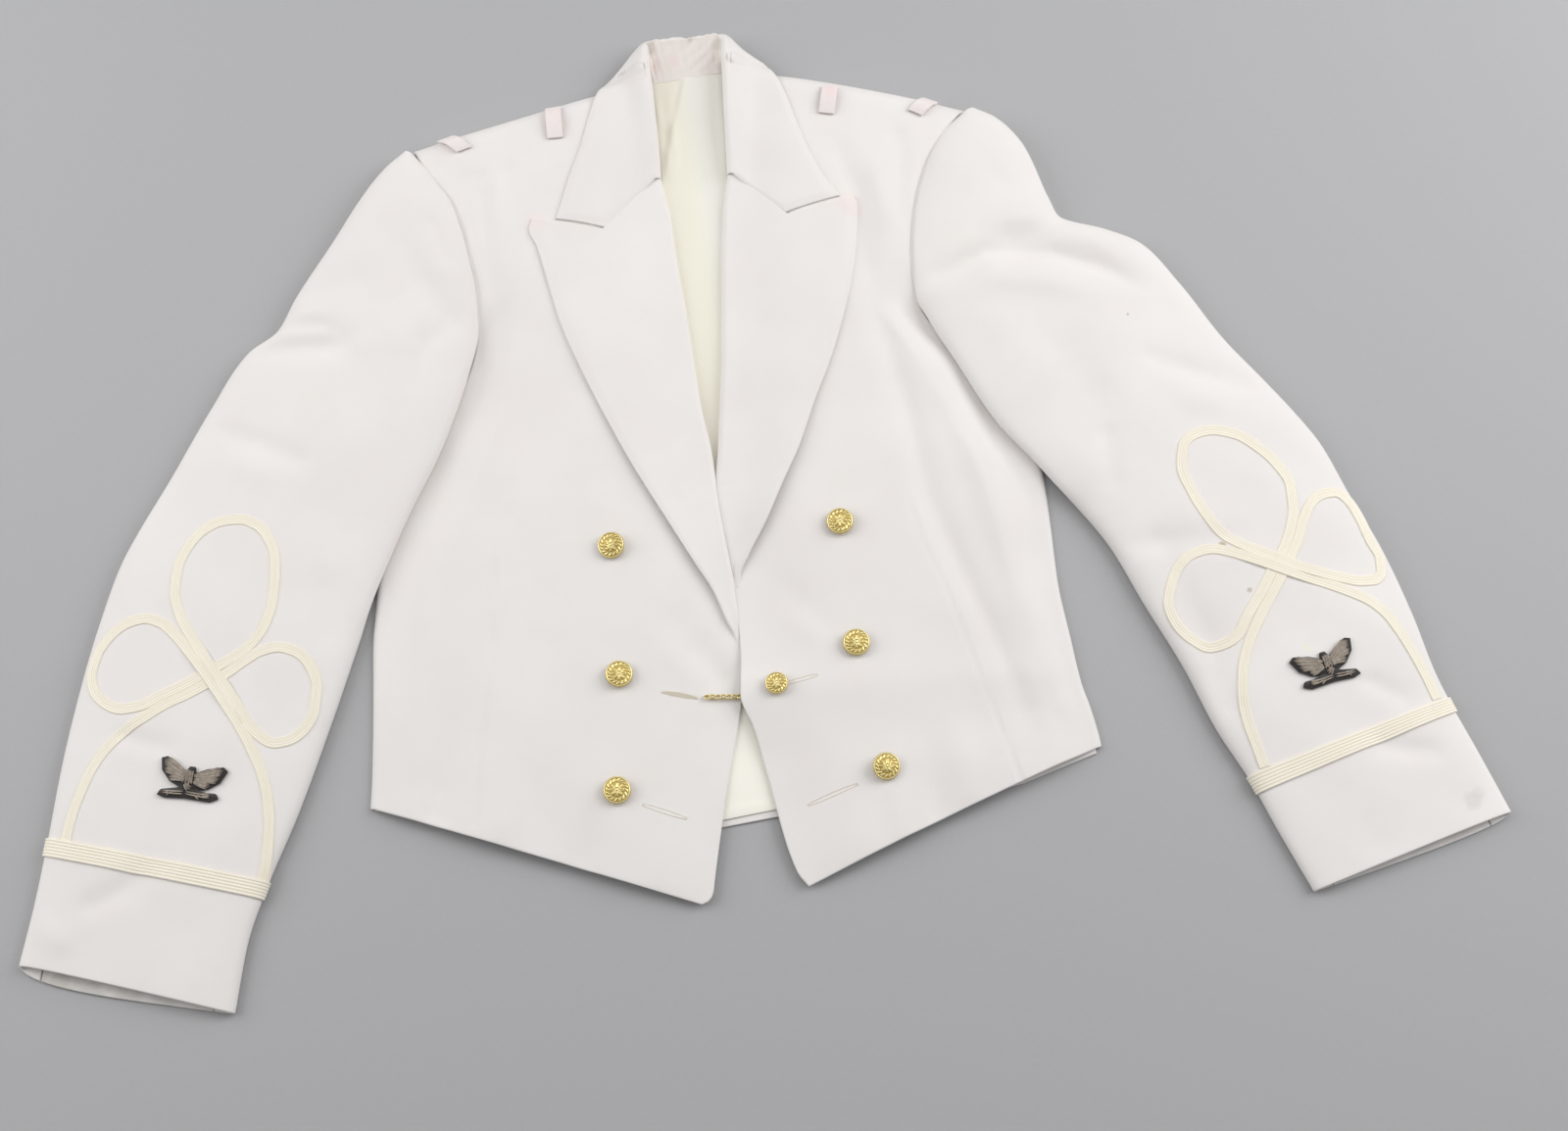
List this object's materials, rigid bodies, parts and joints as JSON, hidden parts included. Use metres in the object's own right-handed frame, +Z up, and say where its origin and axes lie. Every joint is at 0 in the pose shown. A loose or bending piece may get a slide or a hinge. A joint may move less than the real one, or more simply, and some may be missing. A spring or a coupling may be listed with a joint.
{
  "type": "mess jacket",
  "caption": "Waist-length formal jacket laid flat, with peaked lapels, two-piece sleeves with braid knots and cuff bands, dome buttons and a short closing chain.",
  "frame": {"origin": "on the table under the middle of the laid jacket's box", "axes": "+Z up from the table to the front of the jacket, +Y from the hem to the collar, +X towards the wearer's left sleeve"},
  "size_m": [1.0142, 0.7425, 0.0232],
  "materials": {
    "cloth": "white fine twill, matt, slightly aged",
    "lining": "cream satin with a soft sheen",
    "braid": "cream ribbed and corded braid with a slight sheen",
    "felt": "black felt with dark bullion embroidery",
    "gilt": "polished gilt brass"
  },
  "bodies": {
    "root": {"back": "cloth", "front_right": "cloth", "front_left": "cloth", "lapel_right": "cloth", "lapel_left": "cloth", "collar": "cloth", "collar_stand": "cloth", "top_sleeve_right": "cloth", "top_sleeve_left": "cloth", "under_sleeve_right": "cloth", "under_sleeve_left": "cloth", "loop_right_neck": "cloth", "loop_right_arm": "cloth", "loop_left_neck": "cloth", "loop_left_arm": "cloth", "back_lining": "lining", "cuff_braid_right": "braid", "cuff_braid_left": "braid", "knot_braid_right": "braid", "knot_braid_left": "braid", "badge_right": "felt", "badge_left": "felt", "button_right_1": "gilt", "button_right_2": "gilt", "button_right_3": "gilt", "button_left_1": "gilt", "button_left_2": "gilt", "button_left_3": "gilt", "link_button": "gilt", "chain_1": "gilt", "chain_2": "gilt", "chain_3": "gilt", "chain_4": "gilt", "chain_5": "gilt", "chain_6": "gilt", "chain_7": "gilt", "chain_8": "gilt", "chain_9": "gilt"}
  },
  "joints": []
}
